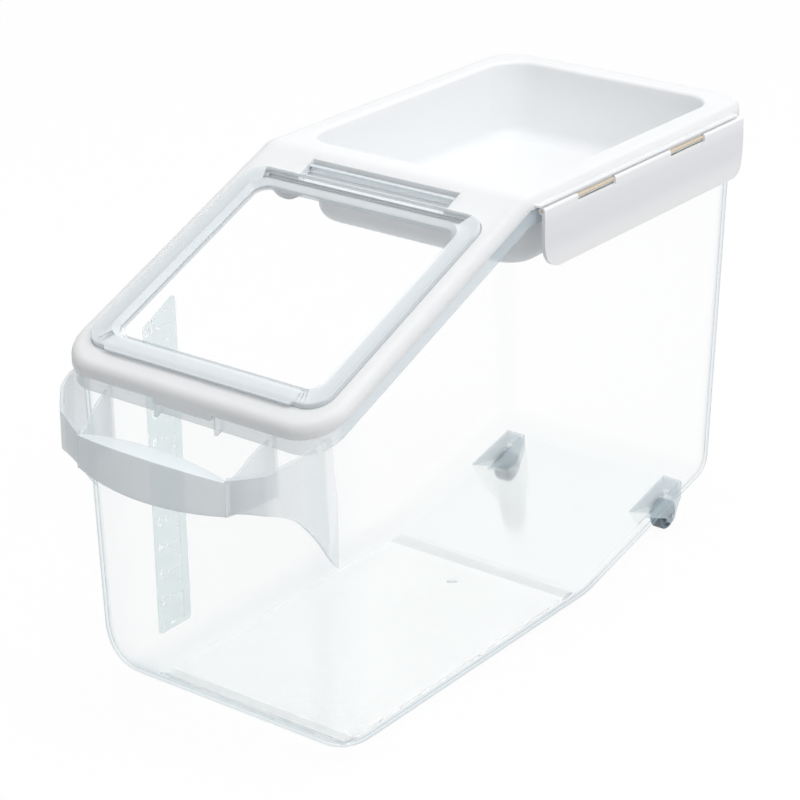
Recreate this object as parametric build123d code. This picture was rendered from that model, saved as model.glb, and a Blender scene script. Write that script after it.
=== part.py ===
from build123d import *
import math
import os

# Rice bin with a flip lid. Millimetres. The front faces -Y, +Z is up, and the origin is at the
# centre of the bin's footprint on the floor. Lengths called "..._at" run forward from the rear edge.

# ---- bin ----
body_width = 172.0          # at the floor
side_draft = 1.1            # degrees, the side walls lean out
body_wall = 2.0
body_corner = 16.0          # upright corners and the long bottom edges
front_foot_at = 433.5       # where the front wall would meet the floor
front_lean = 1.8            # degrees, the front wall leans forward
rear_foot_at = 9.0
rear_lean = 0.6             # degrees, the rear wall leans back
kink_at = 158.0             # the floor turns up behind this line
heel_rise = 36.0            # height of the floor at the rear wall
foot_round = 50.0
heel_round = 21.0
kink_round = 60.0

# ---- lid ----
lid_over = 5.1              # lid's skirt outside the bin's side walls
lid_front_over = 7.0
flat_length = 255.4         # level part, from the rear edge to the knee
lid_top = 299.5
front_drop = 79.0           # the sloping top falls by this to the lid's front edge
lid_wall = 2.4
corner_over = 9.5           # lid's corner radius beyond the bin's
lid_round = 6.2             # rolled edge of the top
knee_round = 16.0
skirt_depth = 7.6           # square to the top faces
hook_width = 40.0           # tab at the front that drops into the bin's rim band
hook_depth = 3.0

# ---- rim ----
rim_drop = 6.4              # bin's rim below the lid's top faces
seal_gap = 0.2
seal_reach = 1.4            # gasket beyond the bin's wall, on the outside
rib_wall = 1.4
band_reach = 4.1            # rim band stands this far out of the wall
band_top = 8.6              # drops of the rim band below the lid's top faces
band_bottom = 17.6
band_plate = 2.0
band_wall = 1.6
hook_gap = 0.6

# ---- front handle ----
handle_reach = 50.5         # from the front wall's foot
handle_in = 33.0            # grip's ends, in from the bin's side
rib_root_in = 26.0          # the ribs spread to this at the front wall
handle_bow = 8.5
grip_wall = 2.4
grip_drop = 29.0            # grip's upper edge below the lid's front, at its ends
grip_height = 20.0
grip_sag = 2.5
grip_crown = 3.7
shelf_depth = 15.0
shelf_wall = 2.2
arm_wall = 2.0
# lower and upper edges of the ribs and of the swept skins: forward of the front wall's foot, and up
# from the grip's own lower or upper edge
rib_low_line = ((43.0, 0.0), (22.5, 0.0), (4.0, 1.0))
rib_high_line = ((43.0, 0.0), (32.5, 3.0), (23.5, 10.0), (14.5, 14.5), (4.0, 16.5))
skin_low_line = ((46.5, 0.0), (36.5, 3.0), (30.5, 2.7), (22.5, -0.5), (14.5, -8.5), (6.5, -19.0),
                 (-9.5, -40.5))
skin_high_line = ((46.5, 0.0), (38.5, 3.0), (31.5, 7.5), (23.5, 12.5), (16.5, 16.0), (6.5, 18.5),
                  (-9.5, 20.5))
skin_plan = ((-11.5, 0.0), (8.0, 0.0), (20.0, 3.6), (31.8, 13.7))    # forward, and in from the side
skin_rounds = (14.0, 10.0, 10.0)
knuckle_wall = 2.4          # small ribs on the rim band beside the lid's hook
knuckle_out = 1.6
knuckle_drop = 2.0

# ---- tray in the lid ----
tray_edge = 16.4            # from the lid's side
tray_front_back = 14.6      # behind the knee
tray_rear_at = 20.6
tray_depth = 50.5
tray_corner = 22.0
tray_taper = 4.5            # degrees
tray_floor_round = 8.0
tray_lip_round = 2.2

# ---- flap: lengths along the slope from the knee, heights square to it ----
flap_edge = 10.9            # from the lid's side
flap_rear = 25.0
flap_front = 193.5
flap_corner = 14.0
flap_high = 3.0             # above the lid's slope
flap_round = 1.0
seat_depth = 2.0
seat_gap = 0.5
flap_rest = 0.3             # air under the flap's frame
window_edge = 13.3          # frame between the flap's side and the window
window_rear_edge = 13.0
window_front_edge = 12.5
window_corner = 9.0
window_wall = 1.8
window_sink = 3.2
window_slant = 45.0         # degrees, the frame's inner face
plug_gap = 1.4
plug_wall = 1.5
plug_short = 3.0            # the plug stops this far behind the window's front edge
plug_depth = 1.8
lip_in = 19.8               # finger lip at the flap's front edge, in from the flap's side
lip_slant = 4.0
lip_reach = 2.0
lip_wall = 1.3
flap_seal_width = 2.2
flap_seal_in = 2.6          # from the flap's edge

# ---- flap hinge ----
hinge_at = 12.9
hinge_sink = 3.0
hinge_barrel = 2.4
hinge_in = 32.8             # barrel's ends, in from the flap's side
hinge_pin = 1.5
hinge_pin_length = 3.2
pocket_rear = 7.8
pocket_depth = 6.2
pocket_gap = 0.8
tongue_wall = 2.2
tongue_lap = 1.6            # tongue under the flap's frame
bore_end_gap = 0.6
running_gap = 0.06

# ---- side clips ----
clip_front_back = 8.9       # behind the lid's knee
clip_rear_at = 21.5
clip_height = 37.3
clip_wall = 2.2
clip_front_round = 20.0
clip_rear_round = 8.0
clip_tuck = 1.0             # the lower edge leans in by this much
pin_out = 2.6               # clip pin's axis outside the lid's skirt
pin_sink = 1.8              # and below its lower edge
pin_radius = 1.1
clip_barrel = 2.2
slot_length = 40.5
slot_centres_at = (89.0, 191.5)
lug_gap = 0.5
ledge_front_back = 5.4
ledge_rear_at = 27.0
ledge_out = 3.8
ledge_wall = 1.3
ledge_up = 1.4
catch_gap = 0.3
catch_wall = 2.4

# ---- casters ----
caster_in = 22.0            # in from the bin's side
axle_at = 37.0
wheel_radius = 10.0
wheel_width = 8.6
hub_radius = 4.2
hub_width = 10.2
hub_gap = 0.3
axle_radius = 1.6
axle_stub = 0.6
cheek_wall = 1.8
cheek_boss = 5.0
cheek_front_at = 70.0
cheek_rear_at = 26.0
cheek_apron = 12.0          # depth of the plate that closes the cheeks at the rear

# ---- worked out ----
front_top = lid_top - front_drop
lid_width = body_width + 2 * (lid_top - skirt_depth) * math.tan(math.radians(side_draft)) + 2 * lid_over
lid_length = front_foot_at + front_top * math.tan(math.radians(front_lean)) + lid_front_over
lid_corner = body_corner + corner_over
slope = math.atan2(front_drop, lid_length - flat_length)
handle_front_at = front_foot_at + handle_reach
handle_half = body_width / 2 - handle_in
grip_high = front_top - grip_drop
grip_low = grip_high - grip_height
rear_y = handle_front_at / 2
sky = lid_top + 40.0
far = 2 * handle_front_at
tray_width = lid_width - 2 * tray_edge
tray_front_at = flat_length - tray_front_back
flap_width = lid_width - 2 * flap_edge
window_width = flap_width - 2 * window_edge
window_rear = flap_rear + window_rear_edge
window_front = flap_front - window_front_edge
hinge_half = flap_width / 2 - hinge_in
clip_front_at = flat_length - clip_front_back
pin_x = lid_width / 2 + pin_out
pin_z = lid_top - skirt_depth - pin_sink
clip_bottom = pin_z - clip_height
caster_x = body_width / 2 - caster_in
pin_end = hinge_half + pocket_gap + hinge_pin_length
cheek_gap = hub_width + 2 * hub_gap


def y_at(distance):
    """Y of a line that lies this far forward of the rear edge."""
    return rear_y - distance


def inset_loop(points, insets):
    """Corners of a counter-clockwise loop whose edges have moved inwards by their own insets."""
    lines = []
    for (y0, z0), (y1, z1), inset in zip(points, points[1:] + points[:1], insets):
        length = math.hypot(y1 - y0, z1 - z0)
        dy, dz = (y1 - y0) / length, (z1 - z0) / length
        lines.append((y0 - dz * inset, z0 + dy * inset, dy, dz))
    corners = []
    for (ya, za, dya, dza), (yb, zb, dyb, dzb) in zip(lines[-1:] + lines[:-1], lines):
        run = ((yb - ya) * dzb - (zb - za) * dyb) / (dya * dzb - dza * dyb)
        corners.append((ya + run * dya, za + run * dza))
    return corners


def side_prism(outline, x_low, x_high):
    """Solid with a closed (y, z) outline between two X stations."""
    return Pos(x_low, 0, 0) * extrude(Plane.YZ * make_face(outline), x_high - x_low)


def arch(low_line, high_line):
    """Closed outline between two smooth curves of the handle, given as the lines above are."""
    low = Spline(*[(y_at(front_foot_at + ahead), grip_low + up) for ahead, up in low_line])
    high = Spline(*[(y_at(front_foot_at + ahead), grip_high + up) for ahead, up in high_line])
    return low + high + Line(low @ 0, high @ 0) + Line(low @ 1, high @ 1)


def mirrored(solid):
    return mirror(solid, about=Plane.YZ)


# ---- shapes shared by the bin and the lid ----

def roof_knee(drop):
    return y_at(flat_length) + drop * math.tan(slope / 2), lid_top - drop


def under_roof(drop, knee=0.0):
    """Everything below the lid's two top faces lowered squarely by drop."""
    knee_y, knee_z = roof_knee(drop)
    points = [
        (knee_y - far * math.cos(slope), -far),
        (knee_y + far, -far),
        (knee_y + far, knee_z),
        (knee_y, knee_z),
        (knee_y - far * math.cos(slope), knee_z - far * math.sin(slope)),
    ]
    outline = FilletPolyline(*points, radius=[0, 0, 0, knee, 0], close=True)
    return side_prism(outline, -lid_width, lid_width)


def roof_band(high, low, knee=0.0):
    return under_roof(high, knee) - under_roof(low)


def wall_half(height):
    """X of the bin's side wall at a height."""
    return body_width / 2 + height * math.tan(math.radians(side_draft))


def tub(inset):
    """The bin's outer form drawn in by inset, with its walls carried up past the lid."""
    front_top_y = y_at(front_foot_at) - sky * math.tan(math.radians(front_lean))
    rear_top_y = y_at(rear_foot_at) + (sky - heel_rise) * math.tan(math.radians(rear_lean))
    walls = [
        (y_at(front_foot_at), 0),
        (y_at(kink_at), 0),
        (y_at(rear_foot_at), heel_rise),
        (rear_top_y, sky),
        (front_top_y, sky),
    ]
    points = inset_loop(walls, [inset, inset, inset, 0, inset])
    rounds = [foot_round - inset, kink_round - inset, heel_round - inset, 0, 0]
    block = side_prism(FilletPolyline(*points, radius=rounds, close=True), -lid_width, lid_width)
    shift = inset / math.cos(math.radians(side_draft))
    low, high = wall_half(-sky) - shift, wall_half(sky) - shift
    section = Polyline((-low, -sky), (low, -sky), (high, sky), (-high, sky), close=True)
    block = block & extrude(Plane.XZ * make_face(section), far, both=True)
    sides = [face for face in block.faces() if abs(face.normal_at().X) > 0.9]
    rims = [edge for face in sides for edge in face.edges() if edge.center().Z < sky - 1]
    return fillet(rims, body_corner - inset)


def floor_z(distance):
    """Underside of the bin's floor."""
    return heel_rise * max(0.0, kink_at - distance) / (kink_at - rear_foot_at)


def slope_plane(height=0.0):
    """Plane on the lid's slope with its origin at the knee and local -Y down the slope."""
    normal = Vector(0, -math.sin(slope), math.cos(slope))
    origin = Vector(0, y_at(flat_length), lid_top) + normal * height
    return Plane(origin=origin, x_dir=(1, 0, 0), z_dir=normal)


def slope_block(width, rear, front, low, high, corner=0.0):
    """Block on the slope, between two lengths from the knee and two heights square to it."""
    length = front - rear
    shape = RectangleRounded(width, length, corner) if corner else Rectangle(width, length)
    return slope_plane(low) * extrude(Pos(0, -(rear + front) / 2) * shape, high - low)


# ---- bin ----

def rim_band():
    band = (tub(-band_reach) - tub(0.1)) & roof_band(band_top, band_bottom)
    hollow = (tub(band_wall - band_reach) - tub(0)) & roof_band(band_top + band_plate, sky)
    notch = Pos(0, y_at(lid_length), front_top) * Box(hook_width + 2 * hook_gap, 40, 80)
    notch = notch & roof_band(0, skirt_depth + hook_depth + hook_gap) - tub(0)
    return band - hollow - notch


def band_knuckles():
    out = hook_width / 2 + hook_gap + knuckle_wall / 2
    rib = Pos(out, y_at(lid_length), front_top) * Box(knuckle_wall, 60, 80)
    rib = rib & roof_band(band_top, band_bottom + knuckle_drop) & tub(-band_reach - knuckle_out)
    return rib + mirrored(rib)


def grip_outline(low, high, crown, sag):
    """Front view of the grip: upper edge crowned, lower edge sagging."""
    half = handle_half
    top = ThreePointArc((-half, high), (0, high + crown), (half, high))
    bottom = ThreePointArc((half, low), (0, low - sag), (-half, low))
    return make_face(top + Line(top @ 1, bottom @ 0) + bottom + Line(bottom @ 1, top @ 0))


def plan_arc(at, bow, half=None):
    half = half or handle_half
    return ThreePointArc((-half, y_at(at - bow)), (0, y_at(at)), (half, y_at(at - bow)))


def plan_lens(front, rear):
    return make_face(front + Line(front @ 1, rear @ 1) + rear + Line(rear @ 0, front @ 0))


def handle():
    front = plan_arc(handle_front_at, handle_bow)
    back = plan_arc(handle_front_at - grip_wall, handle_bow)
    shelf_back = plan_arc(handle_front_at - shelf_depth, handle_bow - shelf_depth + grip_wall)
    wall = extrude(plan_lens(front, back), sky)
    face = Plane.XZ * grip_outline(grip_low, grip_high, grip_crown, grip_sag)
    wall = wall & extrude(face, far, both=True)
    slab = Plane.XZ * grip_outline(grip_high - shelf_wall, grip_high, grip_crown, -grip_crown)
    shelf = extrude(plan_lens(front, shelf_back), sky) & extrude(slab, far, both=True)
    return wall + shelf + handle_ribs() + handle_arms()


def handle_ribs():
    """Upright plates that join the grip's ends to the front wall."""
    root = (body_width / 2 - rib_root_in, y_at(front_foot_at + rib_low_line[-1][0]))
    path = Line((handle_half, y_at(handle_front_at - handle_bow)), root)
    outline = arch(rib_low_line, rib_high_line)
    rib = extrude(trace(path, arm_wall), sky) & side_prism(outline, 0, body_width)
    return rib + mirrored(rib)


def handle_arms():
    """Curved skins that sweep from the bin's side walls round to the grip's ends."""
    half = wall_half(grip_low) - arm_wall / 2
    end = handle_front_at - handle_bow - arm_wall / 2
    turns = [(half - inward, y_at(front_foot_at + ahead)) for ahead, inward in skin_plan]
    path = FilletPolyline(*turns, (handle_half, y_at(end)), radius=skin_rounds)
    outline = arch(skin_low_line, skin_high_line)
    skin = extrude(trace(path, arm_wall), sky) & side_prism(outline, 0, body_width)
    return skin + mirrored(skin)


def caster_cheeks():
    """Pairs of ribs under the rear floor that hold each axle, closed at the rear by an apron."""
    boss = Pos(y_at(axle_at), wheel_radius) * Circle(cheek_boss)
    top = heel_rise + heel_round
    apron_low = floor_z(cheek_rear_at) - cheek_apron
    side = make_face(Polyline((y_at(cheek_front_at), floor_z(cheek_front_at)),
                              (y_at(axle_at + cheek_boss), wheel_radius),
                              (y_at(axle_at - cheek_boss), wheel_radius),
                              (y_at(cheek_rear_at), apron_low), (y_at(cheek_rear_at), top),
                              (y_at(cheek_front_at), top), close=True))
    cheek = Plane.YZ * (side + boss)
    cheeks = Part()
    for inner in (caster_x - cheek_gap / 2 - cheek_wall, caster_x + cheek_gap / 2):
        cheeks += Pos(inner, 0, 0) * extrude(cheek, cheek_wall)
    apron = Pos(caster_x, y_at(cheek_rear_at + cheek_wall / 2), (apron_low + top) / 2)
    cheeks += apron * Box(cheek_gap + 2 * cheek_wall, cheek_wall, top - apron_low)
    cheeks -= axle_line(axle_radius, far)
    return cheeks + mirrored(cheeks)


def axle_line(radius, length):
    place = Pos(caster_x, y_at(axle_at), wheel_radius) * Rot(0, 90, 0)
    return place * Cylinder(radius, length)


def make_bin_body():
    shell = tub(0) & under_roof(rim_drop)
    shell += rim_band() + band_knuckles()
    shell += handle()
    shell += caster_cheeks()
    return shell - tub(body_wall)


# ---- lid ----

def lid_block(inset, high, low, knee):
    """The lid's plan, drawn in by inset, between two drops below its top faces."""
    plan = RectangleRounded(lid_width - 2 * inset, lid_length - 2 * inset, lid_corner - inset)
    block = Pos(0, y_at(lid_length / 2), 0) * extrude(plan, sky)
    return block & roof_band(high, low, knee)


def lid_shell():
    outer = lid_block(0, 0, skirt_depth, knee_round)
    top_edges = [edge for edge in outer.edges() if is_top_edge(edge)]
    outer = fillet(top_edges, lid_round)
    return outer - lid_block(lid_wall, lid_wall, sky, knee_round - lid_wall)


def is_top_edge(edge):
    """True for the edges where the lid's top faces meet its skirt."""
    middle = edge @ 0.5
    knee_y = y_at(flat_length)
    if middle.Y > knee_y:
        top = lid_top
    else:
        top = lid_top - (knee_y - middle.Y) * math.tan(slope)
    on_side = abs(middle.X) > lid_width / 2 - lid_corner
    on_front = middle.Y < y_at(lid_length - lid_corner)
    on_rear = middle.Y > y_at(lid_corner)
    return abs(middle.Z - top) < 1.0 and (on_side or on_front or on_rear)


def tray(grow):
    """Inside of the tray, or its outside when grown by the wall."""
    plan = RectangleRounded(tray_width + 2 * grow, tray_front_at - tray_rear_at + 2 * grow,
                            tray_corner + grow)
    middle = y_at((tray_front_at + tray_rear_at) / 2)
    bowl = Pos(0, middle, lid_top) * extrude(plan, -(tray_depth + grow), taper=tray_taper)
    floor = bowl.faces().sort_by(Axis.Z)[0]
    return fillet(floor.edges(), tray_floor_round + grow)


def tray_mouth(lid):
    """Edges round the top of the tray's opening."""
    inside = [edge for edge in lid.edges() if abs((edge @ 0.5).Z - lid_top) < 0.01]
    front, rear = y_at(tray_front_at), y_at(tray_rear_at)
    return [edge for edge in inside if abs((edge @ 0.5).X) < tray_width / 2 + 0.01
            and front - 0.01 < (edge @ 0.5).Y < rear + 0.01]


def hook_tab():
    """Tab that carries the front skirt down into the notch in the bin's rim band."""
    tab = Pos(0, y_at(lid_length - lid_wall / 2), front_top) * Box(hook_width, lid_wall, 80)
    return tab & roof_band(skirt_depth - 2, skirt_depth + hook_depth)


def clip_lugs():
    """Cradles under the side skirt that hold the clip pins, open to the outside."""
    lugs = Part()
    inner = lid_width / 2 - lid_wall
    for at in slot_centres_at:
        low, high = pin_z - clip_barrel, lid_top - skirt_depth + 1.0
        lug = Pos((inner + pin_x) / 2, y_at(at), (low + high) / 2)
        lugs += lug * Box(pin_x - inner, slot_length - 2 * lug_gap, high - low)
    rim = tub(-band_reach - catch_gap) & under_roof(band_top - catch_gap)
    return lugs - rim - clip_pin_rod(pin_radius)


def clip_ledge():
    """Thin fin over the clip's hinge."""
    low = lid_top - skirt_depth + ledge_up
    front_at = flat_length - ledge_front_back
    length = front_at - ledge_rear_at
    fin = Pos(lid_width / 2 - 1 + (ledge_out + 1) / 2, y_at((front_at + ledge_rear_at) / 2),
              low + ledge_wall / 2)
    return fin * Box(ledge_out + 1, length, ledge_wall)


def clip_pin_rod(radius):
    length = clip_front_at - clip_rear_at
    place = Pos(pin_x, y_at((clip_front_at + clip_rear_at) / 2), pin_z) * Rot(90, 0, 0)
    return place * Cylinder(radius, length)


def seal_rib():
    """Rib under the lid that keeps the gasket in place along the bin's inner wall."""
    ring = tub(body_wall + seal_gap) - tub(body_wall + seal_gap + rib_wall)
    return ring & roof_band(lid_wall - 0.4, rim_drop + 1.5)


def pocket_block(low, high, grow=0.0):
    width = 2 * (hinge_half + pocket_gap + grow)
    return slope_block(width, pocket_rear - grow, flap_rear + tongue_lap + seat_gap, low, high)


def make_lid_cover():
    lid = lid_shell() + seal_rib()
    lid += tray(lid_wall) & under_roof(lid_wall / 2)
    seat_width = flap_width + 2 * seat_gap
    seat_rear, seat_front = flap_rear - seat_gap, flap_front + seat_gap
    pan_low = -(seat_depth + lid_wall)
    lid += slope_block(seat_width + 2 * rib_wall, seat_rear - rib_wall, seat_front + rib_wall,
                       pan_low, -lid_wall / 2, flap_corner + seat_gap + rib_wall)
    lid += pocket_block(-(pocket_depth + lid_wall), -lid_wall / 2, lid_wall)
    for side in (clip_lugs() + clip_ledge(), mirrored(clip_lugs() + clip_ledge())):
        lid += side
    lid += hook_tab()
    lid = fillet(tray_mouth(lid - tray(0)), tray_lip_round)
    lid -= slope_block(seat_width, seat_rear, seat_front, -seat_depth, 20, flap_corner + seat_gap)
    lid -= pocket_block(-pocket_depth, 20)
    lid -= plug_block(plug_wall + plug_gap, -30, 20)
    return lid - flap_hinge_rod(hinge_pin + running_gap, pin_end + bore_end_gap)


def make_lid_seal():
    ring = tub(-seal_reach) - tub(body_wall)
    return ring & roof_band(lid_wall, rim_drop - seal_gap, knee_round - lid_wall)


# ---- flap ----

def flap_hinge_rod(radius, half):
    place = slope_plane(-hinge_sink) * Pos(0, -hinge_at, 0) * Rot(0, 90, 0)
    return place * Cylinder(radius, 2 * half)


def flap_ring(outer_in, width, low, high):
    """Ring that follows the flap's outline, outer_in inside its edge."""
    solids = []
    for inset in (outer_in, outer_in + width):
        solids.append(slope_block(flap_width - 2 * inset, flap_rear + inset, flap_front - inset,
                                  low, high, max(flap_corner - inset, 2.0)))
    return solids[0] - solids[1]


def plug_block(grow, low, high):
    """Inside of the plug under the window, or a larger block round it."""
    return slope_block(window_width + 2 * grow, window_rear - grow, window_front - plug_short + grow,
                       low, high, window_corner + grow)


def finger_lip():
    half, root = flap_width / 2 - lip_in, -flap_front + flap_round + 1
    points = [(-half - lip_slant, root), (-half, -flap_front - lip_reach),
              (half, -flap_front - lip_reach), (half + lip_slant, root)]
    shape = make_face(Polyline(*points, close=True))
    return slope_plane(flap_high - lip_wall) * extrude(shape, lip_wall)


def make_flap():
    low = flap_rest - seat_depth
    flap = slope_block(flap_width, flap_rear, flap_front, low, flap_high, flap_corner)
    top = flap.faces().sort_by(Axis((0, 0, 0), slope_plane().z_dir))[-1]
    flap = fillet(top.edges(), flap_round) + finger_lip()
    flap += slope_block(2 * hinge_half, hinge_at, flap_rear + tongue_lap, -hinge_sink,
                        tongue_wall - hinge_sink)
    flap += flap_hinge_rod(hinge_barrel, hinge_half)
    flap += flap_hinge_rod(hinge_pin, pin_end)
    flap += plug_block(plug_wall, low - plug_depth, low + 0.5)
    window = RectangleRounded(window_width, window_front - window_rear, window_corner)
    window = Pos(0, -(window_rear + window_front) / 2) * window
    flap -= slope_plane(flap_high - window_sink) * extrude(window, 2 * window_sink, taper=-window_slant)
    pane_low = flap_high - window_sink - window_wall
    flap -= plug_block(0, low - plug_depth - 1, pane_low)
    return flap - flap_ring(flap_seal_in, flap_seal_width, low - 1, low + 1.4)


def make_flap_seal():
    low = flap_rest - seat_depth
    return flap_ring(flap_seal_in, flap_seal_width, low - seal_gap, low + 1.4)


# ---- side clips ----

def clip_section():
    """Section of the clip across its length: outer and inner face, with a catch under the band."""
    out = pin_x + clip_barrel
    top = pin_z
    shoulder = pin_z - 6
    outer = Spline((out, top), (out + 0.5, shoulder - 8), (out - clip_tuck, clip_bottom))
    inner = Spline((out - clip_wall, top), (out + 0.5 - clip_wall, shoulder - 8),
                   (out - clip_tuck - clip_wall, clip_bottom))
    ends = Line(outer @ 0, inner @ 0) + Line(outer @ 1, inner @ 1)
    return Plane.XZ * make_face(outer + inner + ends)


def make_clip():
    length = clip_front_at - clip_rear_at
    panel = Pos(0, y_at(clip_rear_at), 0) * extrude(clip_section(), length)
    corners = [(y_at(clip_rear_at), clip_bottom), (y_at(clip_rear_at), sky),
               (y_at(clip_front_at), sky), (y_at(clip_front_at), clip_bottom)]
    outline = FilletPolyline(*corners, radius=[clip_rear_round, 0, 0, clip_front_round], close=True)
    panel = panel & side_prism(outline, 0, lid_width)
    catch_low = lid_top - band_bottom - catch_gap - catch_wall
    band_out = wall_half(catch_low + catch_wall) + band_reach
    catch_in, catch_out = band_out + catch_gap, pin_x + clip_barrel - clip_wall + 0.8
    catch = Pos((catch_in + catch_out) / 2, y_at((clip_front_at + clip_rear_at) / 2),
                catch_low + catch_wall / 2)
    clip = panel + catch * Box(catch_out - catch_in, length - 60, catch_wall)
    clip += clip_pin_rod(clip_barrel)
    for at in slot_centres_at:
        low, high = pin_z - clip_barrel - lug_gap, pin_z + 2 * clip_barrel
        clip -= Pos(pin_x, y_at(at), (low + high) / 2) * Box(20, slot_length, high - low)
    return clip - clip_pin_rod(pin_radius + running_gap)


# ---- casters ----

def make_wheel():
    tread = fillet(Cylinder(wheel_radius, wheel_width).edges(), 1.2)
    wheel = tread + Cylinder(hub_radius, hub_width)
    for side in (-1, 1):
        dish = Cylinder(wheel_radius - 2.2, 2.4) - Cylinder(hub_radius + 0.6, 2.4)
        wheel -= Pos(0, 0, side * wheel_width / 2) * dish
    wheel -= Cylinder(axle_radius + running_gap, far)
    return Pos(caster_x, y_at(axle_at), wheel_radius) * Rot(0, 90, 0) * wheel


def make_axle():
    return axle_line(axle_radius, cheek_gap + 2 * cheek_wall + 2 * axle_stub)


# ---- write the nodes ----

def main():
    os.makedirs("parts", exist_ok=True)
    nodes = {
        "bin_body": make_bin_body(),
        "lid_cover": make_lid_cover(),
        "lid_seal": make_lid_seal(),
        "flip_lid": make_flap(),
        "flip_lid_seal": make_flap_seal(),
    }
    pairs = {"side_clip": make_clip(), "clip_pin": clip_pin_rod(pin_radius),
             "wheel": make_wheel(), "axle": make_axle()}
    for name, solid in pairs.items():
        nodes[name + "_right"] = solid
        nodes[name + "_left"] = mirrored(solid)
    for name, solid in nodes.items():
        export_step(solid, f"parts/{name}.step")
        print(f"{name}: {len(solid.solids())} solid, {solid.volume / 1000:.2f} cm3")


main()
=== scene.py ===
import math

import bmesh
import bpy
from mathutils import Matrix, Vector
from mathutils.bvhtree import BVHTree


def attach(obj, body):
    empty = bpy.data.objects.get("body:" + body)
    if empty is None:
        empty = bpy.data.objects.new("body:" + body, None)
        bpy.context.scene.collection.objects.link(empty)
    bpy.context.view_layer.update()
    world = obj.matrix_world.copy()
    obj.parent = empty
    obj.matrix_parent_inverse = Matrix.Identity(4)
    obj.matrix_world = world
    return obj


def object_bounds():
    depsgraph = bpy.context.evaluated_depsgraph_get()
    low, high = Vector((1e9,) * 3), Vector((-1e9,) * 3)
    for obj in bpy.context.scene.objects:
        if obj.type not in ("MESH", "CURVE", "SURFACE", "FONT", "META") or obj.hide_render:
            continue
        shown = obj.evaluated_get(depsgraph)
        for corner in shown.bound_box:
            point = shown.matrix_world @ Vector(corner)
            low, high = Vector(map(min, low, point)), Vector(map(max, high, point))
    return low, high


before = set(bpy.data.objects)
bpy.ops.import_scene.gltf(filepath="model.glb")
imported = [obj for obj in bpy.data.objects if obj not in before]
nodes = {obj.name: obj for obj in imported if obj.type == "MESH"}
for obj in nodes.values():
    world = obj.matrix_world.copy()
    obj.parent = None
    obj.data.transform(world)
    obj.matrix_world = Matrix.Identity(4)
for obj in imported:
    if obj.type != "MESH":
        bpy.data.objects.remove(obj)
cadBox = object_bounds()
bpy.context.scene.view_settings.view_transform = "Standard"
bpy.context.scene.cycles.transparent_max_bounces = 40       # the clear walls lie many deep
print("frame loaded")

mm = 0.001
rearEdge = cadBox[1][1]     # lengths called ...At run forward from here


# where the photograph was taken from
view = {
    "place": (0.8945, -1.2049, 0.7834),
    "azimuth": 36.74,       # degrees round from the front
    "elevation": 22.99,
    "lens": 119.65,
    "sensor": 36.0,
}

room = {
    "floorSize": 14.0,
    "floorColour": (0.52, 0.52, 0.53, 1.0),
    "skyLevel": 0.44,
    "skyLean": (0.22, 0.24, 0.50),      # how much brighter the sky is towards +X, +Y and up
    "shadowShare": 0.07,                # how much of the floor's own shading shows
    "lampAim": (0.0, 0.0, 0.15),
    "lamps": (
        ("overheadLamp", (0.15, -0.30, 2.2), 1.1, 8.0),     # place, size, watts
        ("rightLamp", (1.5, 0.1, 1.9), 1.0, 9.0),
    ),
}


def makeCamera():
    data = bpy.data.cameras.new("camera")
    data.lens = view["lens"]
    data.sensor_width = view["sensor"]
    camera = bpy.data.objects.new("camera", data)
    turn, tilt = math.radians(view["azimuth"]), math.radians(view["elevation"])
    back = Vector((math.sin(turn) * math.cos(tilt), -math.cos(turn) * math.cos(tilt), math.sin(tilt)))
    right = Vector((math.cos(turn), math.sin(turn), 0))
    axes = Matrix((right, back.cross(right), back)).transposed()
    camera.matrix_world = Matrix.Translation(view["place"]) @ axes.to_4x4()
    bpy.context.scene.collection.objects.link(camera)
    bpy.context.scene.camera = camera


def makeLamps():
    for name, place, size, watts in room["lamps"]:
        data = bpy.data.lights.new(name, "AREA")
        data.shape = "DISK"
        data.size = size
        data.energy = watts
        lamp = bpy.data.objects.new(name, data)
        aim = (Vector(room["lampAim"]) - Vector(place)).to_track_quat("-Z", "Y")
        lamp.matrix_world = Matrix.Translation(place) @ aim.to_matrix().to_4x4()
        bpy.context.scene.collection.objects.link(lamp)


# 1 for rays from the camera, or that came off gloss or through clear plastic; 0 for the light itself
def seenRay(tree):
    path = tree.nodes.new("ShaderNodeLightPath")
    value = path.outputs["Is Camera Ray"]
    for ray in ("Is Glossy Ray", "Is Transmission Ray"):
        either = tree.nodes.new("ShaderNodeMath")
        either.operation = "MAXIMUM"
        tree.links.new(value, either.inputs[0])
        tree.links.new(path.outputs[ray], either.inputs[1])
        value = either.outputs[0]
    return value


def makeWorld():
    world = bpy.data.worlds.new("studio")
    world.use_nodes = True
    tree = world.node_tree
    tree.nodes.clear()
    where = tree.nodes.new("ShaderNodeTexCoord")
    lean = tree.nodes.new("ShaderNodeVectorMath")
    lean.operation = "DOT_PRODUCT"
    lean.inputs[1].default_value = room["skyLean"]
    level = tree.nodes.new("ShaderNodeMath")
    level.operation = "ADD"
    level.inputs[1].default_value = room["skyLevel"]
    light = tree.nodes.new("ShaderNodeBackground")
    shown = tree.nodes.new("ShaderNodeBackground")
    shown.inputs["Color"].default_value = (1, 1, 1, 1)
    mix = tree.nodes.new("ShaderNodeMixShader")
    out = tree.nodes.new("ShaderNodeOutputWorld")
    tree.links.new(where.outputs["Generated"], lean.inputs[0])
    tree.links.new(lean.outputs["Value"], level.inputs[0])
    tree.links.new(level.outputs[0], light.inputs["Strength"])
    light.inputs["Color"].default_value = (1, 1, 1, 1)
    tree.links.new(seenRay(tree), mix.inputs[0])
    tree.links.new(light.outputs[0], mix.inputs[1])
    tree.links.new(shown.outputs[0], mix.inputs[2])
    tree.links.new(mix.outputs[0], out.inputs["Surface"])
    bpy.context.scene.world = world


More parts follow.
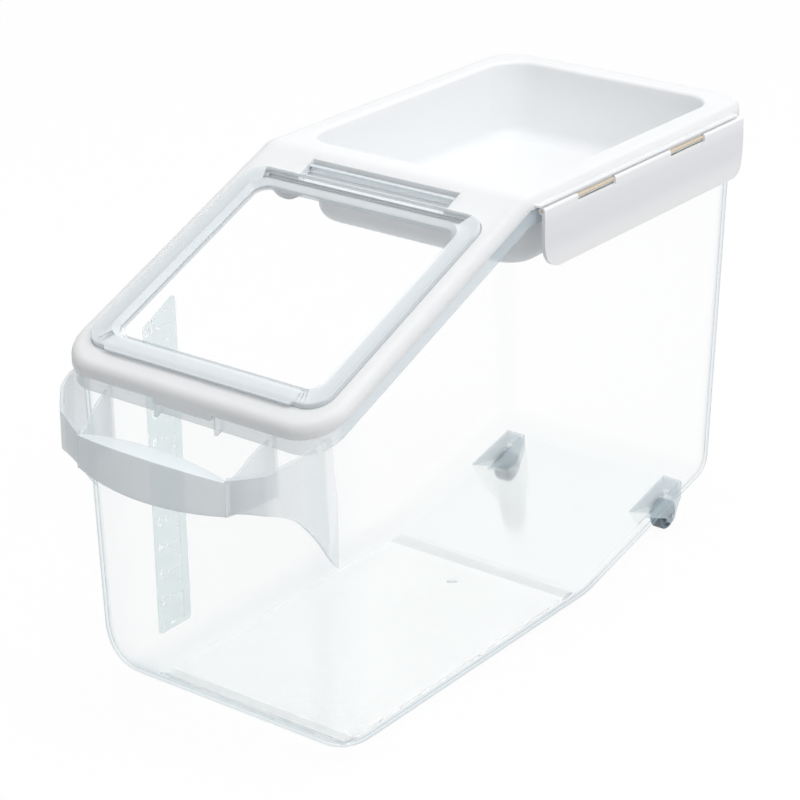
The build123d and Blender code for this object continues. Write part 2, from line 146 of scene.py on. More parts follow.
def makeFloor():
    half = room["floorSize"] / 2
    mesh = bpy.data.meshes.new("studioFloor")
    mesh.from_pydata([(-half, -half, 0), (half, -half, 0), (half, half, 0), (-half, half, 0)], [],
                     [(0, 1, 2, 3)])
    floor = bpy.data.objects.new("studioFloor", mesh)
    bpy.context.scene.collection.objects.link(floor)
    material = bpy.data.materials.new("studioFloor")
    material.use_nodes = True
    tree = material.node_tree
    tree.nodes.clear()
    matte = tree.nodes.new("ShaderNodeBsdfDiffuse")
    matte.inputs["Color"].default_value = room["floorColour"]
    white = tree.nodes.new("ShaderNodeBsdfDiffuse")
    white.inputs["Color"].default_value = (1, 1, 1, 1)
    glow = tree.nodes.new("ShaderNodeEmission")
    shown = tree.nodes.new("ShaderNodeMixShader")
    shown.inputs[0].default_value = room["shadowShare"]
    mix = tree.nodes.new("ShaderNodeMixShader")
    out = tree.nodes.new("ShaderNodeOutputMaterial")
    tree.links.new(glow.outputs[0], shown.inputs[1])
    tree.links.new(white.outputs[0], shown.inputs[2])
    tree.links.new(seenRay(tree), mix.inputs[0])
    tree.links.new(matte.outputs[0], mix.inputs[1])
    tree.links.new(shown.outputs[0], mix.inputs[2])
    tree.links.new(mix.outputs[0], out.inputs["Surface"])
    mesh.materials.append(material)


# shader groups that several plastics share
def newGroup(name, inputs, outputs):
    group = bpy.data.node_groups.new(name, "ShaderNodeTree")
    for label, kind, value in inputs:
        socket = group.interface.new_socket(label, in_out="INPUT", socket_type=kind)
        if value is not None:
            socket.default_value = value
    for label, kind in outputs:
        group.interface.new_socket(label, in_out="OUTPUT", socket_type=kind)
    return group, group.nodes.new("NodeGroupInput"), group.nodes.new("NodeGroupOutput")


def addNode(tree, kind, **settings):
    node = tree.nodes.new(kind)
    for key, value in settings.items():
        setattr(node, key, value)
    return node


# what a polished or spark-eroded mould leaves: a fine grain, long flow lines and slow unevenness
def makeMouldGrain():
    group, given, result = newGroup(
        "mouldGrain",
        (("Vector", "NodeSocketVector", None),
         ("Grain Scale", "NodeSocketFloat", 900.0),
         ("Flow Scale", "NodeSocketFloat", 14.0),
         ("Flow Stretch", "NodeSocketVector", (1.0, 0.25, 1.0)),
         ("Grain Share", "NodeSocketFloat", 0.5)),
        (("Value", "NodeSocketFloat"), ("Height", "NodeSocketFloat")))
    grain = addNode(group, "ShaderNodeTexNoise")
    grain.inputs["Detail"].default_value = 3
    flowPlace = addNode(group, "ShaderNodeVectorMath", operation="MULTIPLY")
    flow = addNode(group, "ShaderNodeTexNoise")
    flow.inputs["Detail"].default_value = 4
    flow.inputs["Distortion"].default_value = 0.6
    mix = addNode(group, "ShaderNodeMix", data_type="FLOAT")
    links = group.links
    links.new(given.outputs["Vector"], grain.inputs["Vector"])
    links.new(given.outputs["Grain Scale"], grain.inputs["Scale"])
    links.new(given.outputs["Vector"], flowPlace.inputs[0])
    links.new(given.outputs["Flow Stretch"], flowPlace.inputs[1])
    links.new(flowPlace.outputs[0], flow.inputs["Vector"])
    links.new(given.outputs["Flow Scale"], flow.inputs["Scale"])
    links.new(given.outputs["Grain Share"], mix.inputs["Factor"])
    links.new(flow.outputs["Fac"], mix.inputs["A"])
    links.new(grain.outputs["Fac"], mix.inputs["B"])
    links.new(flow.outputs["Fac"], result.inputs["Value"])
    links.new(mix.outputs["Result"], result.inputs["Height"])
    return group


# a soft step along one direction, for a tint or a haze that belongs to one region of a moulding
def makeRegionMask():
    group, given, result = newGroup(
        "regionMask",
        (("Vector", "NodeSocketVector", None),
         ("Direction", "NodeSocketVector", (0.0, 0.0, 1.0)),
         ("Start", "NodeSocketFloat", 0.0),
         ("End", "NodeSocketFloat", 0.1)),
        (("Mask", "NodeSocketFloat"),))
    along = addNode(group, "ShaderNodeVectorMath", operation="DOT_PRODUCT")
    step = addNode(group, "ShaderNodeMapRange", interpolation_type="SMOOTHSTEP")
    links = group.links
    links.new(given.outputs["Vector"], along.inputs[0])
    links.new(given.outputs["Direction"], along.inputs[1])
    links.new(along.outputs["Value"], step.inputs["Value"])
    links.new(given.outputs["Start"], step.inputs["From Min"])
    links.new(given.outputs["End"], step.inputs["From Max"])
    links.new(step.outputs["Result"], result.inputs["Mask"])
    return group


# the tub's upright corners and long bottom edges, where there is most plastic to look through
def makeCornerMask():
    group, given, result = newGroup(
        "cornerMask",
        (("Vector", "NodeSocketVector", None),
         ("Half Width", "NodeSocketFloat", 0.086),
         ("Side Lean", "NodeSocketFloat", 0.0192),
         ("Front", "NodeSocketFloat", 0.1915),
         ("Front Lean", "NodeSocketFloat", 0.0314),
         ("Rear", "NodeSocketFloat", 0.233),
         ("Radius", "NodeSocketFloat", 0.016)),
        (("Mask", "NodeSocketFloat"),))
    links = group.links
    place = addNode(group, "ShaderNodeSeparateXYZ")
    links.new(given.outputs["Vector"], place.inputs[0])

    def feed(value, socket):
        if isinstance(value, (int, float)):
            socket.default_value = value
        else:
            links.new(value, socket)

    def math2(operation, first, second=0.0):
        node = addNode(group, "ShaderNodeMath", operation=operation)
        feed(first, node.inputs[0])
        feed(second, node.inputs[1])
        return node.outputs[0]

    def nearFace(value, limit):
        step = addNode(group, "ShaderNodeMapRange", interpolation_type="SMOOTHSTEP")
        feed(value, step.inputs["Value"])
        feed(math2("SUBTRACT", limit, given.outputs["Radius"]), step.inputs["From Min"])
        feed(limit, step.inputs["From Max"])
        return step.outputs["Result"]

    across = math2("SUBTRACT", math2("ABSOLUTE", place.outputs["X"]),
                   math2("MULTIPLY", place.outputs["Z"], given.outputs["Side Lean"]))
    ahead = math2("SUBTRACT", math2("MULTIPLY", place.outputs["Y"], -1.0),
                  math2("MULTIPLY", place.outputs["Z"], given.outputs["Front Lean"]))
    side = nearFace(across, given.outputs["Half Width"])
    front = nearFace(ahead, given.outputs["Front"])
    rear = nearFace(place.outputs["Y"], given.outputs["Rear"])
    low = nearFace(math2("MULTIPLY", place.outputs["Z"], -1.0), 0.0)
    upright = math2("MULTIPLY", side, math2("MAXIMUM", front, rear))
    foot = math2("MULTIPLY", low, math2("MAXIMUM", side, front))
    links.new(math2("MAXIMUM", upright, foot), result.inputs["Mask"])
    return group


# level surfaces below a height: the tub's floor and its ramp, inside and out
def makeFloorMask():
    group, given, result = newGroup(
        "floorMask",
        (("Vector", "NodeSocketVector", None),
         ("Normal", "NodeSocketVector", None),
         ("Full Below", "NodeSocketFloat", 0.042),
         ("None Above", "NodeSocketFloat", 0.060)),
        (("Mask", "NodeSocketFloat"),))
    place = addNode(group, "ShaderNodeSeparateXYZ")
    facing = addNode(group, "ShaderNodeSeparateXYZ")
    size = addNode(group, "ShaderNodeMath", operation="ABSOLUTE")
    level = addNode(group, "ShaderNodeMapRange", interpolation_type="SMOOTHSTEP")
    level.inputs["From Min"].default_value = 0.35
    level.inputs["From Max"].default_value = 0.95
    low = addNode(group, "ShaderNodeMapRange", interpolation_type="SMOOTHSTEP")
    both = addNode(group, "ShaderNodeMath", operation="MULTIPLY")
    links = group.links
    links.new(given.outputs["Vector"], place.inputs[0])
    links.new(given.outputs["Normal"], facing.inputs[0])
    links.new(facing.outputs["Z"], size.inputs[0])
    links.new(size.outputs[0], level.inputs["Value"])
    links.new(place.outputs["Z"], low.inputs["Value"])
    links.new(given.outputs["None Above"], low.inputs["From Min"])
    links.new(given.outputs["Full Below"], low.inputs["From Max"])
    links.new(level.outputs["Result"], both.inputs[0])
    links.new(low.outputs["Result"], both.inputs[1])
    links.new(both.outputs[0], result.inputs["Mask"])
    return group


mouldGrain = makeMouldGrain()
regionMask = makeRegionMask()
cornerMask = makeCornerMask()
floorMask = makeFloorMask()


def newMaterial(name):
    material = bpy.data.materials.new(name)
    material.use_nodes = True
    return material, material.node_tree, material.node_tree.nodes["Principled BSDF"]


def useGroup(tree, group, **values):
    node = tree.nodes.new("ShaderNodeGroup")
    node.node_tree = group
    for label, value in values.items():
        node.inputs[label.replace("_", " ")].default_value = value
    return node


# roughness between two values and a shallow bump, both from the mould's grain
def addGrain(tree, shader, where, finish):
    grain = useGroup(tree, mouldGrain, Grain_Scale=finish["grainScale"], Flow_Scale=finish["flowScale"],
                     Flow_Stretch=finish["flowStretch"], Grain_Share=finish["grainShare"])
    tree.links.new(where.outputs["Object"], grain.inputs["Vector"])
    rough = addNode(tree, "ShaderNodeMapRange")
    rough.inputs["To Min"].default_value = finish["roughness"][0]
    rough.inputs["To Max"].default_value = finish["roughness"][1]
    tree.links.new(grain.outputs["Value"], rough.inputs["Value"])
    tree.links.new(rough.outputs["Result"], shader.inputs["Roughness"])
    bump = addNode(tree, "ShaderNodeBump")
    bump.inputs["Strength"].default_value = finish["bump"]
    bump.inputs["Distance"].default_value = finish["bumpDepth"] * mm
    tree.links.new(grain.outputs["Height"], bump.inputs["Height"])
    tree.links.new(bump.outputs["Normal"], shader.inputs["Normal"])
    return grain


def mixColours(tree, mask, first, second):
    mix = addNode(tree, "ShaderNodeMix", data_type="RGBA")
    for label, colour in (("A", first), ("B", second)):
        if isinstance(colour, tuple):
            mix.inputs[label].default_value = colour
        else:
            tree.links.new(colour, mix.inputs[label])
    tree.links.new(mask, mix.inputs["Factor"])
    return mix.outputs["Result"]


# a region is ("corner",), ("floor",), or ("along", direction, start, end)
def addMask(tree, where, region):
    if region[0] == "corner":
        mask = useGroup(tree, cornerMask)
    elif region[0] == "floor":
        mask = useGroup(tree, floorMask)
        tree.links.new(where.outputs["Normal"], mask.inputs["Normal"])
    else:
        mask = useGroup(tree, regionMask, Direction=region[1], Start=region[2], End=region[3])
    tree.links.new(where.outputs["Object"], mask.inputs["Vector"])
    return mask.outputs["Mask"]


# clear plastic covers little where it faces the eye, and more towards its edges and in its hazy regions
def addHaze(tree, shader, where, haze):
    edge = addNode(tree, "ShaderNodeLayerWeight")
    power = addNode(tree, "ShaderNodeMath", operation="POWER")
    power.inputs[1].default_value = haze["power"]
    cover = addNode(tree, "ShaderNodeMapRange")
    cover.inputs["To Min"].default_value = haze["facing"]
    cover.inputs["To Max"].default_value = haze["grazing"]
    tree.links.new(edge.outputs["Facing"], power.inputs[0])
    tree.links.new(power.outputs[0], cover.inputs["Value"])
    alpha = cover.outputs["Result"]
    for region, extra, rise in haze.get("regions", ()):
        mask = addMask(tree, where, region)
        if rise:        # this haze shows only where the wall turns away from the eye
            slant = addNode(tree, "ShaderNodeMath", operation="POWER")
            slant.inputs[1].default_value = rise
            tree.links.new(edge.outputs["Facing"], slant.inputs[0])
            turned = addNode(tree, "ShaderNodeMath", operation="MULTIPLY")
            tree.links.new(mask, turned.inputs[0])
            tree.links.new(slant.outputs[0], turned.inputs[1])
            mask = turned.outputs[0]
        more = addNode(tree, "ShaderNodeMath", operation="MULTIPLY_ADD", use_clamp=True)
        more.inputs[1].default_value = extra
        tree.links.new(mask, more.inputs[0])
        tree.links.new(alpha, more.inputs[2])
        alpha = more.outputs[0]
    tree.links.new(alpha, shader.inputs["Alpha"])


def makePlastic(name, finish):
    material, tree, shader = newMaterial(name)
    where = addNode(tree, "ShaderNodeTexCoord")
    grain = addGrain(tree, shader, where, finish)
    colour = mixColours(tree, grain.outputs["Value"], finish["darker"], finish["paler"])
    # colours laid over regions of a moulding: real tints of the clear plastic, and on the clip painted
    # highlights
    for region, tint in finish.get("tints", ()):
        colour = mixColours(tree, addMask(tree, where, region), colour, tint)
    tree.links.new(colour, shader.inputs["Base Color"])
    shader.inputs["IOR"].default_value = finish.get("ior", 1.49)
    shader.inputs["Metallic"].default_value = finish.get("metallic", 0.0)
    shader.inputs["Transmission Weight"].default_value = finish.get("clearness", 0.0)
    if "glow" in finish:
        shader.inputs["Subsurface Weight"].default_value = finish["glow"]
        shader.inputs["Subsurface Radius"].default_value = (1.0, 1.0, 1.0)
        shader.inputs["Subsurface Scale"].default_value = finish["glowDepth"] * mm
    if "haze" in finish:
        addHaze(tree, shader, where, finish["haze"])
    return material


polished = {"grainScale": 700.0, "flowScale": 9.0, "flowStretch": (1.0, 0.3, 1.0), "grainShare": 0.15,
            "bump": 0.12, "bumpDepth": 0.25}
satin = {"grainScale": 1400.0, "flowScale": 12.0, "flowStretch": (1.0, 0.4, 1.0), "grainShare": 0.75,
         "bump": 0.18, "bumpDepth": 0.12}

finishes = {
    "clearWall": dict(polished, roughness=(0.08, 0.16), ior=1.35,
                      darker=(0.42, 0.59, 0.70, 1), paler=(0.48, 0.66, 0.76, 1),
                      tints=((("along", (0, -1, 0), 0.150, 0.188), (0.52, 0.80, 0.87, 1)),
                             (("floor",), (0.70, 0.90, 0.96, 1)),
                             (("corner",), (0.46, 0.65, 0.75, 1))),
                      haze={"facing": 0.0, "grazing": 1.0, "power": 7.0,
                            "regions": ((("along", (0, -1, 0), 0.150, 0.188), 0.03, 0),
                                        (("floor",), 0.03, 0),
                                        (("corner",), 0.02, 0),
                                        (("corner",), 0.50, 2.2))}),
    "clearFloor": dict(polished, roughness=(0.10, 0.20), ior=1.2, clearness=0.96,
                       darker=(0.945, 0.995, 1.0, 1), paler=(0.965, 1.0, 1.0, 1),
                       haze={"facing": 0.62, "grazing": 0.95, "power": 5.5}),
    "clearRim": dict(polished, roughness=(0.12, 0.24), ior=1.35,
                     darker=(0.72, 0.82, 0.88, 1), paler=(0.78, 0.88, 0.93, 1),
                     haze={"facing": 0.32, "grazing": 0.95, "power": 2.5}),
    "clearHandle": dict(polished, roughness=(0.16, 0.30), ior=1.4,
                        darker=(0.87, 0.935, 0.965, 1), paler=(0.91, 0.965, 0.985, 1),
                        haze={"facing": 0.27, "grazing": 0.95, "power": 2.3,
                              "regions": ((("along", (0, -1, 0), 0.218, 0.230), 0.24, 0),)}),
    "clearFlap": dict(polished, roughness=(0.10, 0.20), ior=1.4,
                      darker=(0.88, 0.94, 0.975, 1), paler=(0.92, 0.97, 0.99, 1),
                      haze={"facing": 0.66, "grazing": 0.95, "power": 2.5}),
    "clearPane": dict(polished, roughness=(0.05, 0.10), ior=1.4,
                      darker=(0.84, 0.90, 0.94, 1), paler=(0.88, 0.94, 0.97, 1),
                      haze={"facing": 0.0, "grazing": 0.7, "power": 5.0}),
    "whiteLid": dict(satin, roughness=(0.30, 0.42), darker=(0.89, 0.905, 0.925, 1),
                     paler=(0.91, 0.925, 0.94, 1), glow=0.60, glowDepth=4.5),
    "whiteClip": dict(satin, roughness=(0.28, 0.40), darker=(0.85, 0.865, 0.90, 1),
                      paler=(0.88, 0.895, 0.925, 1),
                      # the paler bands below and above the clip's middle are painted highlights: the light
                      # that its turning bottom and top edges catch is painted into its colour
                      tints=((("along", (0, 0, -1), -0.272, -0.256), (0.99, 0.995, 1.0, 1)),
                             (("along", (0, 0, 1), 0.282, 0.290), (0.94, 0.95, 0.965, 1)))),
    "softSeal": dict(satin, roughness=(0.50, 0.65), darker=(0.84, 0.86, 0.88, 1),
                     paler=(0.88, 0.90, 0.92, 1)),
    "tanPin": dict(satin, roughness=(0.45, 0.60), darker=(0.76, 0.64, 0.48, 1),
                   paler=(0.82, 0.71, 0.56, 1)),
    "greyWheel": dict(satin, roughness=(0.35, 0.50), darker=(0.16, 0.21, 0.25, 1),
                      paler=(0.21, 0.26, 0.30, 1)),
    "axleSteel": dict(satin, roughness=(0.22, 0.36), metallic=1.0, darker=(0.42, 0.43, 0.45, 1),
                      paler=(0.56, 0.57, 0.59, 1)),
    "frostedScale": dict(satin, roughness=(0.45, 0.60), ior=1.2, clearness=0.93,
                         darker=(0.78, 0.87, 0.875, 1), paler=(0.83, 0.91, 0.915, 1),
                         haze={"facing": 0.72, "grazing": 0.95, "power": 4.0}),
}
materials = {name: makePlastic(name, finish) for name, finish in finishes.items()}
print("materials made")


# the finish of each CAD node that has only one
nodeFinish = {
    "lid_cover": "whiteLid",
    "side_clip_left": "whiteClip",
    "side_clip_right": "whiteClip",
    "lid_seal": "softSeal",
    "flip_lid_seal": "softSeal",
    "clip_pin_left": "tanPin",
    "clip_pin_right": "tanPin",
    "wheel_left": "greyWheel",
    "wheel_right": "greyWheel",
    "axle_left": "axleSteel",
    "axle_right": "axleSteel",
}

tub = {
    "halfAtFloor": 86.0,
    "sideDraft": 1.1,           # degrees
    "corner": 16.0,
    "frontFootAt": 433.5,
    "frontLean": 1.8,           # degrees
    "skin": 0.35,               # what stands further out than this belongs to the handle
    "handleFrom": 80.0,         # and what is higher than this
    "bandTo": 428.0,            # behind this only the clear rim band stands out
    "kinkAt": 158.0,
    "rearFootAt": 9.0,
    "heelRise": 36.0,
    "underRamp": 1.5,           # what hangs lower than this under the ramp carries the wheels
    "casterTo": 90.0,
    "levelFrom": 0.968,         # the floor's faces point up or down at least this much
    "levelAcross": 0.01,        # and sideways no more than this
    "levelTo": 416.0,
    "floorReach": 6.0,
}


def paint(names, *finishNames):
    for name in names:
        mesh = nodes[name].data
        mesh.materials.clear()
        for finish in finishNames:
            mesh.materials.append(materials[finish])


# how far a point stands outside the tub's upright walls, which are clearer than the handle
def outOfTub(point):
    height = point.z / mm
    forward = (rearEdge - point.y) / mm
    half = tub["halfAtFloor"] + height * math.tan(math.radians(tub["sideDraft"]))
    front = tub["frontFootAt"] + height * math.tan(math.radians(tub["frontLean"]))
    across = abs(point.x) / mm - (half - tub["corner"])
    along = forward - (front - tub["corner"])
    return math.hypot(max(across, 0), max(along, 0)) + min(max(across, along), 0) - tub["corner"]


def rampHeight(forward):
    share = (tub["kinkAt"] - forward) / (tub["kinkAt"] - tub["rearFootAt"])
    return tub["heelRise"] * max(0, min(share, 1))


def paintBin():
    paint(["bin_body"], "clearWall", "clearHandle", "clearRim", "clearFloor")
    for face in nodes["bin_body"].data.polygons:
        forward = (rearEdge - face.center.y) / mm
        height = face.center.z / mm
        if height > tub["handleFrom"] and outOfTub(face.center) > tub["skin"]:
            face.material_index = 1 if forward > tub["bandTo"] else 2
        elif forward < tub["casterTo"] and height < rampHeight(forward) - tub["underRamp"]:
            face.material_index = 2
        elif (abs(face.normal.z) > tub["levelFrom"] and abs(face.normal.x) < tub["levelAcross"]
              and forward < tub["levelTo"] and height < rampHeight(forward) + tub["floorReach"]):
            face.material_index = 3


pane = {
    "across": 73.0,     # half the window's width
    "rearAt": 271.0,    # window's ends, along the bin
    "frontAt": 429.0,
    "flat": 0.999,      # how closely a face follows the window's slope
}


# the window is as flat as the flap's largest face; its rounded rim belongs to the frame
def paintFlap():
    paint(["flip_lid"], "clearFlap", "clearPane")
    faces = nodes["flip_lid"].data.polygons
    slope = max(faces, key=lambda face: face.area).normal.copy()
    for face in faces:
        forward = (rearEdge - face.center.y) / mm
        inside = abs(face.center.x) / mm < pane["across"] and pane["rearAt"] < forward < pane["frontAt"]
        if inside and abs(face.normal.dot(slope)) > pane["flat"]:
            face.material_index = 1


for name, finish in nodeFinish.items():
    paint([name], finish)
paintBin()
paintFlap()
print("CAD nodes painted")


# measuring scale on the left wall
scale = {
    "rearAt": 349.5,        # the frosted panel's edges
    "frontAt": 379.0,
    "low": 15.0,
    "highAtRear": 230.0,
    "highAtFront": 215.5,
    "corner": 3.0,
    "thick": 0.3,
    "sunk": 0.08,           # how far the panel reaches into the wall
    "markSunk": 0.3,        # the cutters for the marks reach past both of its faces
    "markOut": 0.45,
    "lineAt": 356.0,
    "firstMark": 18.8,
    "step": 17.55,
    "marks": 12,
    "markLength": 11.0,
    "halfLength": 5.0,
    "lineWide": 0.6,
    "dot": 1.1,             # radius of each mark's round end
    "figureAt": 373.6,
    "figureSize": 8.6,
    "unitAt": 370.5,
    "unitHeight": 219.5,
    "unitSize": 6.4,
    "bolder": 0.12,         # how far the strokes are spread
    "weld": 0.002,
    "cornerSteps": 5,
}


binShape = BVHTree.FromPolygons([v.co for v in nodes["bin_body"].data.vertices],
                                [tuple(p.vertices) for p in nodes["bin_body"].data.polygons])


# the wall's outer face, found on the CAD bin itself at two heights
def readWall():
    forward = rearEdge - scale["lineAt"] * mm
    found = []
    for height in (scale["low"] * 3 * mm, scale["highAtFront"] * mm):
        hit = binShape.ray_cast(Vector((-1, forward, height)), Vector((1, 0, 0)))[0]
        found.append((height, hit.x))
    (lowHeight, lowX), (highHeight, highX) = found
    lean = (highX - lowX) / (highHeight - lowHeight)
    return lowX - lean * lowHeight, lean


wallFoot, wallLean = readWall()


def onWall(forward, height, out):
    return Vector((wallFoot + wallLean * height * mm - out * mm, rearEdge - forward * mm, height * mm))


def newPiece(name, mesh, finish, body):
    piece = bpy.data.objects.new(name, mesh)
    bpy.context.scene.collection.objects.link(piece)
    mesh.materials.clear()
    mesh.materials.append(materials[finish])
    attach(piece, body)
    return piece


def roundedOutline(corners, radius, steps):
    outline = []
    for i, corner in enumerate(corners):
        here = Vector(corner)
        before = (Vector(corners[i - 1]) - here).normalized()
        after = (Vector(corners[(i + 1) % len(corners)]) - here).normalized()
        half = before.angle(after) / 2
        centre = here + (before + after).normalized() * radius / math.sin(half)
        start = here + before * radius / math.tan(half) - centre
        end = here + after * radius / math.tan(half) - centre
        sweep = start.angle_signed(end)
        for k in range(steps + 1):
            spoke = start.copy()
            spoke.rotate(Matrix.Rotation(-sweep * k / steps, 2))
            outline.append(centre + spoke)
    return outline


# a flat piece on the wall, between two depths
def slabOnWall(name, outline, sunk, out):
    mesh = bpy.data.meshes.new(name)
    shape = bmesh.new()
    inner = [shape.verts.new(onWall(p[0], p[1], -sunk)) for p in outline]
    outer = [shape.verts.new(onWall(p[0], p[1], out)) for p in outline]
    shape.faces.new(inner)
    shape.faces.new(list(reversed(outer)))
    for i in range(len(outline)):
        shape.faces.new((inner[i - 1], outer[i - 1], outer[i], inner[i]))
    bmesh.ops.recalc_face_normals(shape, faces=shape.faces)
    shape.to_mesh(mesh)
    shape.free()
    return mesh


def makePanel():
    corners = [(scale["rearAt"], scale["low"]), (scale["frontAt"], scale["low"]),
               (scale["frontAt"], scale["highAtFront"]), (scale["rearAt"], scale["highAtRear"])]
    outline = roundedOutline(corners, scale["corner"], scale["cornerSteps"])
    return slabOnWall("scalePanel", outline, scale["sunk"], scale["thick"])


# every mark is a bar with a round end, and half marks are shorter bars between them
def makeMarkTree():
    tree = bpy.data.node_groups.new("scaleMarks", "GeometryNodeTree")
    tree.interface.new_socket("Geometry", in_out="INPUT", socket_type="NodeSocketGeometry")
    sizes = (("Marks", "NodeSocketInt"), ("Step", "NodeSocketVector"), ("Half Step", "NodeSocketVector"),
             ("Mark Bar", "NodeSocketVector"), ("Half Bar", "NodeSocketVector"),
             ("Mark Shift", "NodeSocketVector"), ("Half Shift", "NodeSocketVector"),
             ("Dot Radius", "NodeSocketFloat"), ("Dot Depth", "NodeSocketFloat"),
             ("Dot Shift", "NodeSocketVector"))
    for label, kind in sizes:
        tree.interface.new_socket(label, in_out="INPUT", socket_type=kind)
    tree.interface.new_socket("Material", in_out="INPUT", socket_type="NodeSocketMaterial")
    tree.interface.new_socket("Geometry", in_out="OUTPUT", socket_type="NodeSocketGeometry")
    given = tree.nodes.new("NodeGroupInput")
    result = tree.nodes.new("NodeGroupOutput")
    links = tree.links
    join = tree.nodes.new("GeometryNodeJoinGeometry")

    def addRow(shape, shift, start):
        row = addNode(tree, "GeometryNodeMeshLine", mode="OFFSET")
        links.new(given.outputs["Marks"], row.inputs["Count"])
        links.new(given.outputs["Step"], row.inputs["Offset"])
        if start is not None:
            links.new(given.outputs[start], row.inputs["Start Location"])
        moved = tree.nodes.new("GeometryNodeTransform")
        links.new(shape, moved.inputs["Geometry"])
        links.new(given.outputs[shift], moved.inputs["Translation"])
        copies = tree.nodes.new("GeometryNodeInstanceOnPoints")
        links.new(row.outputs["Mesh"], copies.inputs["Points"])
        links.new(moved.outputs["Geometry"], copies.inputs["Instance"])
        links.new(copies.outputs["Instances"], join.inputs["Geometry"])

    for size, shift, start in (("Mark Bar", "Mark Shift", None), ("Half Bar", "Half Shift", "Half Step")):
        bar = tree.nodes.new("GeometryNodeMeshCube")
        links.new(given.outputs[size], bar.inputs["Size"])
        addRow(bar.outputs["Mesh"], shift, start)
    dot = tree.nodes.new("GeometryNodeMeshCylinder")
    dot.inputs["Vertices"].default_value = 20
    links.new(given.outputs["Dot Radius"], dot.inputs["Radius"])
    links.new(given.outputs["Dot Depth"], dot.inputs["Depth"])
    flat = tree.nodes.new("GeometryNodeTransform")
    flat.inputs["Rotation"].default_value = (0, math.pi / 2, 0)
    links.new(dot.outputs["Mesh"], flat.inputs["Geometry"])
    addRow(flat.outputs["Geometry"], "Dot Shift", None)
    whole = tree.nodes.new("GeometryNodeRealizeInstances")
    finish = tree.nodes.new("GeometryNodeSetMaterial")
    links.new(join.outputs["Geometry"], whole.inputs["Geometry"])
    links.new(whole.outputs["Geometry"], finish.inputs["Geometry"])
    links.new(given.outputs["Material"], finish.inputs["Material"])
    links.new(finish.outputs["Geometry"], result.inputs["Geometry"])
    return tree


def fromNodes(name, tree, values):
    maker = bpy.data.objects.new(name + "Maker", bpy.data.meshes.new(name + "Maker"))
    bpy.context.scene.collection.objects.link(maker)
    modifier = maker.modifiers.new(name, "NODES")
    modifier.node_group = tree
    for item in tree.interface.items_tree:
        if item.in_out == "INPUT" and item.name in values:
            modifier[item.identifier] = values[item.name]
    graph = bpy.context.evaluated_depsgraph_get()
    mesh = bpy.data.meshes.new_from_object(maker.evaluated_get(graph))
    mesh.name = name
    maker.modifiers.clear()
    bpy.data.objects.remove(maker)
    return mesh


def makeMarks():
    thick = (scale["markOut"] + scale["markSunk"]) * mm
    rise = scale["step"] * mm
    step = Vector((wallLean * rise, 0, rise))
    mesh = fromNodes("scaleMarks", makeMarkTree(), {
        "Marks": scale["marks"],
        "Step": step,
        "Half Step": step / 2,
        "Mark Bar": (thick, scale["markLength"] * mm, scale["lineWide"] * mm),
        "Half Bar": (thick, scale["halfLength"] * mm, scale["lineWide"] * mm),
        "Mark Shift": (0, -scale["markLength"] * mm / 2, 0),
        "Half Shift": (0, -scale["halfLength"] * mm / 2, 0),
        "Dot Radius": scale["dot"] * mm,
        "Dot Depth": thick,
        "Dot Shift": (0, -scale["markLength"] * mm, 0),
        "Material": materials["frostedScale"],
    })
    middle = (scale["markOut"] - scale["markSunk"]) / 2
    mesh.transform(Matrix.Translation(onWall(scale["lineAt"], scale["firstMark"], middle)))
    return mesh


def makeLine():
    top = scale["firstMark"] + scale["step"] * (scale["marks"] - 1)
    half = scale["lineWide"] / 2
    low, high = scale["firstMark"] - half, top + half
    rear, front = scale["lineAt"] - half, scale["lineAt"] + half
    return slabOnWall("scaleLine", ((rear, low), (front, low), (front, high), (rear, high)),
                      scale["markSunk"], scale["markOut"])


def writeOnWall(words, size, forward, height):
    curve = bpy.data.curves.new("scaleWords", "FONT")
    curve.body = words
    curve.size = size * mm
    curve.align_x = "CENTER"
    curve.align_y = "CENTER"
    curve.extrude = (scale["markOut"] + scale["markSunk"]) / 2 * mm
    curve.offset = scale["bolder"] * mm
    curve.resolution_u = 4
    maker = bpy.data.objects.new("scaleWordsMaker", curve)
    bpy.context.scene.collection.objects.link(maker)
    graph = bpy.context.evaluated_depsgraph_get()
    mesh = bpy.data.meshes.new_from_object(maker.evaluated_get(graph))
    bpy.data.objects.remove(maker)
    middle = (scale["markOut"] - scale["markSunk"]) / 2
    for vertex in mesh.vertices:
        flat = vertex.co / mm
        vertex.co = onWall(forward + flat.x, height + flat.y, middle + flat.z)
    shape = bmesh.new()
    shape.from_mesh(mesh)
    bmesh.ops.remove_doubles(shape, verts=shape.verts, dist=scale["weld"] * mm)
    bmesh.ops.recalc_face_normals(shape, faces=shape.faces)
    shape.to_mesh(mesh)
    shape.free()
    return mesh


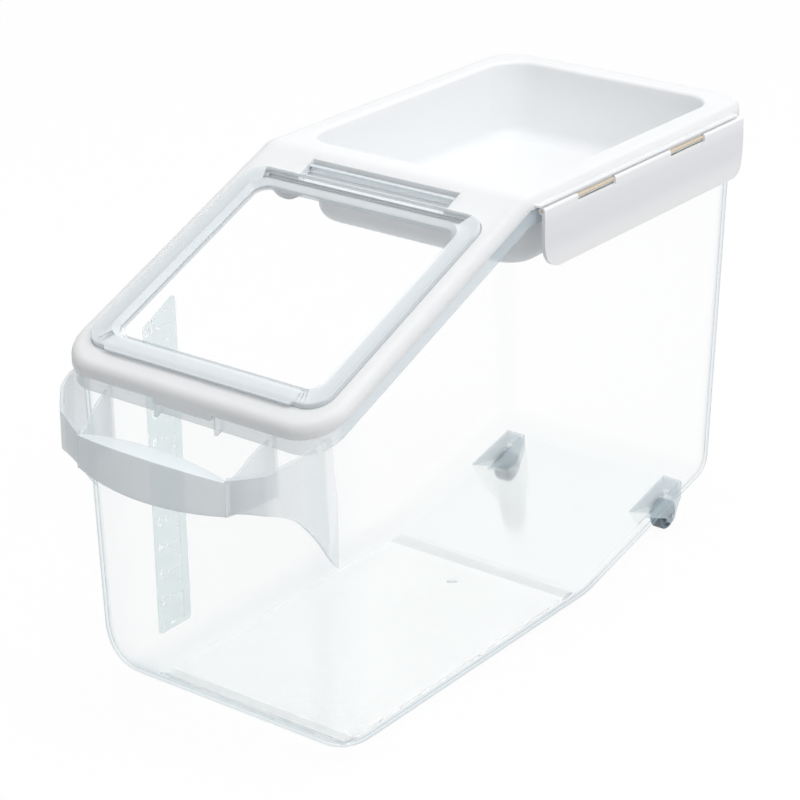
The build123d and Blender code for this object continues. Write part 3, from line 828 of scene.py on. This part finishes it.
# the marks are polished where the panel is frosted, so they are cut clean through it
def cutThrough(mesh, cutters):
    shape = bmesh.new()
    for cutter in cutters:
        shape.from_mesh(cutter)
    cutter = bpy.data.meshes.new("scaleCutter")
    shape.to_mesh(cutter)
    shape.free()
    panel = bpy.data.objects.new("scalePanelMaker", mesh)
    block = bpy.data.objects.new("scaleCutter", cutter)
    for thing in (panel, block):
        bpy.context.scene.collection.objects.link(thing)
    cut = panel.modifiers.new("cut", "BOOLEAN")
    cut.operation = "DIFFERENCE"
    cut.solver = "EXACT"
    cut.use_self = True
    cut.object = block
    graph = bpy.context.evaluated_depsgraph_get()
    result = bpy.data.meshes.new_from_object(panel.evaluated_get(graph))
    for thing in (panel, block):
        bpy.data.objects.remove(thing)
    result.name = "scalePanel"
    return result


cutters = [makeMarks(), makeLine()]
for number in range(1, scale["marks"] + 1):
    cutters.append(writeOnWall(str(number), scale["figureSize"], scale["figureAt"],
                               scale["firstMark"] + scale["step"] * (number - 1)))
cutters.append(writeOnWall("kg", scale["unitSize"], scale["unitAt"], scale["unitHeight"]))
newPiece("scalePanel", cutThrough(makePanel(), cutters), "frostedScale", "bin")
print("measuring scale made")


# the gate mark that moulding leaves on the floor
gate = {
    "at": 192.0,
    "rings": ((3.4, 0.0), (3.0, 0.22), (2.5, 0.28), (2.1, 0.1), (1.0, 0.08), (0.8, 0.3), (0.0, 0.42)),
    "turns": 32,
}


def floorHeight(forward):
    above = Vector((0, rearEdge - forward * mm, cadBox[1][2]))
    return binShape.ray_cast(above, Vector((0, 0, -1)))[0].z


def makeGate():
    centre = Vector((0, rearEdge - gate["at"] * mm, floorHeight(gate["at"]) - 0.02 * mm))
    mesh = bpy.data.meshes.new("gateMark")
    shape = bmesh.new()
    rows = []
    for radius, height in gate["rings"][:-1]:
        rows.append([shape.verts.new(centre + Vector((radius * mm * math.cos(a), radius * mm * math.sin(a),
                                                      height * mm)))
                     for a in (2 * math.pi * k / gate["turns"] for k in range(gate["turns"]))])
    tip = shape.verts.new(centre + Vector((0, 0, gate["rings"][-1][1] * mm)))
    for lower, upper in zip(rows, rows[1:]):
        for k in range(gate["turns"]):
            shape.faces.new((lower[k - 1], lower[k], upper[k], upper[k - 1]))
    for k in range(gate["turns"]):
        shape.faces.new((rows[-1][k - 1], rows[-1][k], tip))
    shape.faces.new(list(reversed(rows[0])))
    bmesh.ops.recalc_face_normals(shape, faces=shape.faces)
    shape.to_mesh(mesh)
    shape.free()
    for face in mesh.polygons:
        face.use_smooth = True
    newPiece("gateMark", mesh, "clearWall", "bin")


makeGate()
print("gate mark made")

makeCamera()
makeLamps()
makeWorld()
makeFloor()
print("stage made")
